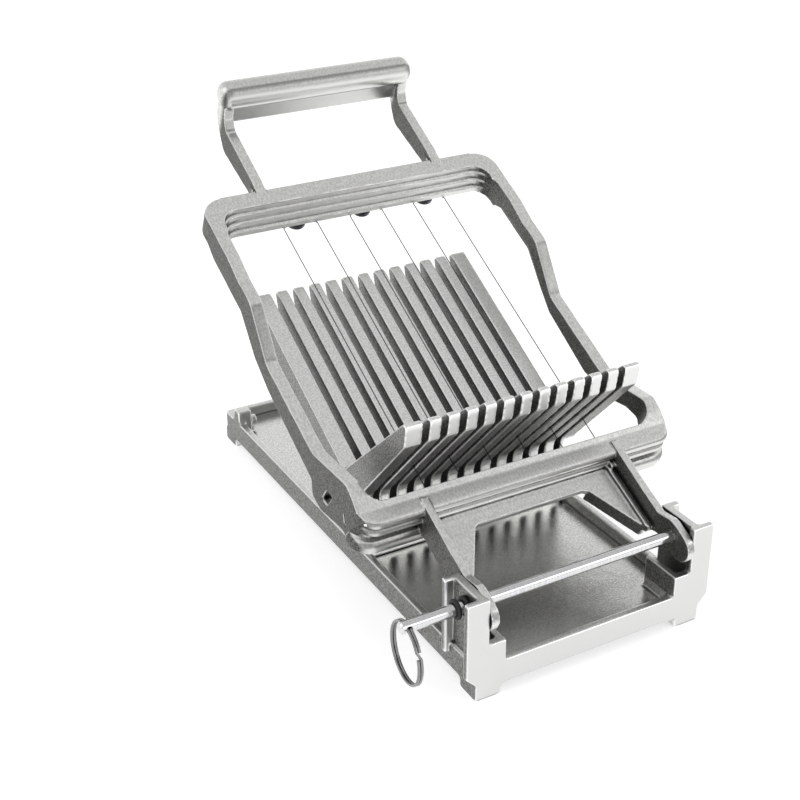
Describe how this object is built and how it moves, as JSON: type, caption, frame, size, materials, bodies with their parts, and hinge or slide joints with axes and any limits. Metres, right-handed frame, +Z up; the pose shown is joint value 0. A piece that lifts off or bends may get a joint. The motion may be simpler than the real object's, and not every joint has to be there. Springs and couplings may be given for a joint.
{
  "type": "wire butter slicer",
  "caption": "Hand slicer: a tray with a slotted V-shaped bed, and a hinged frame strung with parallel wires that swings down through the slots, on a pull-out hinge pin with a ring.",
  "frame": {"origin": "middle of the whole object's footprint, at the underside of the feet", "axes": "+X along the hinge pin, away from its ring; +Y from the hinge to the handle; +Z up"},
  "size_m": [0.188, 0.291, 0.2196],
  "materials": {
    "tray_casting": "cast aluminium, ground and polished",
    "bed_casting": "cast aluminium with milled slots, tumbled",
    "frame_casting": "cast aluminium, ground on its edges, grainy on its sides",
    "pin_steel": "polished stainless steel",
    "ring_steel": "drawn spring steel",
    "screw_steel": "dark plain steel",
    "wire_steel": "drawn stainless wire",
    "o_ring_rubber": "black nitrile rubber"
  },
  "bodies": {
    "base": {"base_tray": "tray_casting", "slotted_bed": "bed_casting", "bed_screws": "screw_steel"},
    "frame": {"cutting_frame": "frame_casting", "wire_nipples": "wire_steel", "clamp_washers": "screw_steel", "cutting_wire_1": "wire_steel", "cutting_wire_2": "wire_steel", "cutting_wire_3": "wire_steel", "cutting_wire_4": "wire_steel", "cutting_wire_5": "wire_steel", "cutting_wire_6": "wire_steel"},
    "pin": {"hinge_pin": "pin_steel", "pin_o_rings": "o_ring_rubber"},
    "ring": {"split_ring": "ring_steel"},
    "screw_1": {"tension_screw_1": "screw_steel"},
    "screw_2": {"tension_screw_2": "screw_steel"},
    "screw_3": {"tension_screw_3": "screw_steel"}
  },
  "joints": [
    {"name": "frame_hinge", "type": "hinge", "parent": "base", "child": "frame", "pos_m": [0.00255, -0.13018, 0.0455], "axis": [1, 0, 0], "range_deg": [-29.8, 64]},
    {"name": "pin_pull", "type": "slide", "parent": "base", "child": "pin", "axis": [-1, 0, 0], "range_m": [0, 0.14]},
    {"name": "ring_swing", "type": "hinge", "parent": "pin", "child": "ring", "pos_m": [-0.09035, -0.13018, 0.0455], "axis": [0, 1, 0], "range_deg": [-45, 95]},
    {"name": "screw_turn_1", "type": "hinge", "parent": "frame", "child": "screw_1", "pos_m": [-0.03245, 0.09307, 0.15238], "axis": [0, -0.4384, 0.8988], "range_deg": [0, 270]},
    {"name": "screw_turn_2", "type": "hinge", "parent": "frame", "child": "screw_2", "pos_m": [0.00755, 0.09307, 0.15238], "axis": [0, -0.4384, 0.8988], "range_deg": [0, 270]},
    {"name": "screw_turn_3", "type": "hinge", "parent": "frame", "child": "screw_3", "pos_m": [0.04755, 0.09307, 0.15238], "axis": [0, -0.4384, 0.8988], "range_deg": [0, 270]}
  ]
}
